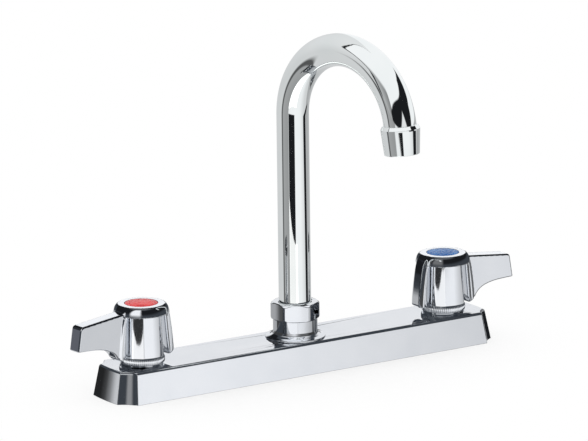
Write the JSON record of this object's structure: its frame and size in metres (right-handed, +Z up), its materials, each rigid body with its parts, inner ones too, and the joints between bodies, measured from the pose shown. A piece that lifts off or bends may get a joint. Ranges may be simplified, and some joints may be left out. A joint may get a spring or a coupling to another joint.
{
  "type": "deck-mounted two-handle faucet",
  "caption": "Two-handle kitchen faucet for 8-inch centres: drafted chrome base, swivelling gooseneck spout with aerator, and quarter-turn lever handles with red and blue indexes.",
  "frame": {"origin": "centre of the base's underside, on the deck", "axes": "+Z up from the deck, +X along the base to the cold side, -Y towards the user"},
  "size_m": [0.2963, 0.1145, 0.2436],
  "materials": {
    "chrome": "polished chrome plate",
    "brass": "machined brass",
    "copper": "drawn copper tube",
    "steel": "stainless",
    "ceramic": "lapped alumina ceramic",
    "rubber": "matt EPDM",
    "red_index": "gloss red",
    "blue_index": "gloss blue",
    "white_plastic": "moulded acetal"
  },
  "bodies": {
    "base": {"cold_bonnet": "brass", "cold_cover_nut": "brass", "cold_cross_tube": "copper", "cold_deck_washer": "steel", "cold_fixed_disc": "ceramic", "cold_locknut": "brass", "cold_seat_seal": "rubber", "cold_sleeve": "chrome", "cold_valve_body": "brass", "deck_cover": "chrome", "deck_gasket": "rubber", "hot_bonnet": "brass", "hot_cover_nut": "brass", "hot_cross_tube": "copper", "hot_deck_washer": "steel", "hot_fixed_disc": "ceramic", "hot_locknut": "brass", "hot_seat_seal": "rubber", "hot_sleeve": "chrome", "hot_valve_body": "brass", "spout_hub": "brass", "spout_nut": "chrome", "spout_socket": "chrome"},
    "spout": {"aerator_housing": "chrome", "aerator_insert": "white_plastic", "aerator_washer": "rubber", "spout_bushing": "white_plastic", "spout_o_rings": "rubber", "spout_split_ring": "steel", "spout_tail": "brass", "spout_tube": "chrome"},
    "hot_lever": {"hot_handle": "chrome", "hot_handle_screw": "steel", "hot_index": "red_index", "hot_moving_disc": "ceramic", "hot_stem": "brass", "hot_stem_o_ring": "rubber"},
    "cold_lever": {"cold_handle": "chrome", "cold_handle_screw": "steel", "cold_index": "blue_index", "cold_moving_disc": "ceramic", "cold_stem": "brass", "cold_stem_o_ring": "rubber"}
  },
  "joints": [
    {"name": "spout_swivel", "type": "hinge", "parent": "base", "child": "spout", "pos_m": [0, 0, 0.02], "axis": [0, 0, 1], "continuous": true},
    {"name": "hot_turn", "type": "hinge", "parent": "base", "child": "hot_lever", "pos_m": [-0.1016, 0, 0.02], "axis": [0, 0, 1], "range_deg": [-5, 85]},
    {"name": "cold_turn", "type": "hinge", "parent": "base", "child": "cold_lever", "pos_m": [0.1016, 0, 0.02], "axis": [0, 0, 1], "range_deg": [-90, 0]}
  ]
}
